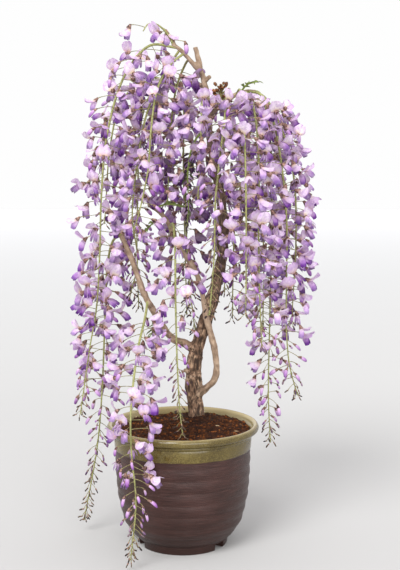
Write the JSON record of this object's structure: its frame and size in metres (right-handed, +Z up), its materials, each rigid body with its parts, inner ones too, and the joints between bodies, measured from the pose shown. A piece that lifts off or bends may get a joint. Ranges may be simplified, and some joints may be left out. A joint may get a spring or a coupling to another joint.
{
  "type": "wisteria in a pot",
  "caption": "Small trained wisteria in flower: twined woody trunk with long hanging racemes of lilac pea flowers, in a round stoneware pot with a glazed rim",
  "frame": {"origin": "centre of the plant's footprint on the surface that the pot stands on", "axes": "+Z up, the height of the plant; +Y away from the viewer; +X to the viewer's right"},
  "size_m": [0.3246, 0.271, 0.6871],
  "materials": {
    "stoneware": "unglazed, matt, with a glossy olive glaze on the rim",
    "soil": "granular, matt",
    "bark": "rough grey-brown bark",
    "bud_scales": "dry brown scales",
    "young_leaf": "soft, thin, slightly downy",
    "blossom": "thin satin petals, pale lilac with violet keels, on yellow-green stalks"
  },
  "bodies": {
    "root": {"pot": "stoneware", "soil": "soil", "trunk_and_branches": "bark", "winter_buds": "bud_scales", "leaf_shoot_left": "young_leaf", "leaf_shoot_inner": "young_leaf", "leaf_shoot_twining": "young_leaf", "leaf_shoot_right": "young_leaf", "leaf_shoot_shaded": "young_leaf", "raceme_arch_left": "blossom", "raceme_long_left": "blossom", "raceme_over_rim": "blossom", "raceme_centre_low": "blossom", "raceme_centre_left": "blossom", "raceme_inner_left": "blossom", "raceme_crown_middle": "blossom", "raceme_top_left": "blossom", "raceme_centre_front": "blossom", "raceme_arch_right": "blossom", "raceme_front_right": "blossom", "raceme_low_right": "blossom", "raceme_fore_right": "blossom", "raceme_outer_right": "blossom", "raceme_shaded_middle": "blossom", "raceme_trunk_front": "blossom", "raceme_back_left": "blossom", "raceme_back_middle": "blossom", "raceme_back_right": "blossom", "raceme_corner_right": "blossom", "raceme_corner_left": "blossom", "raceme_middle_back": "blossom"}
  },
  "joints": []
}
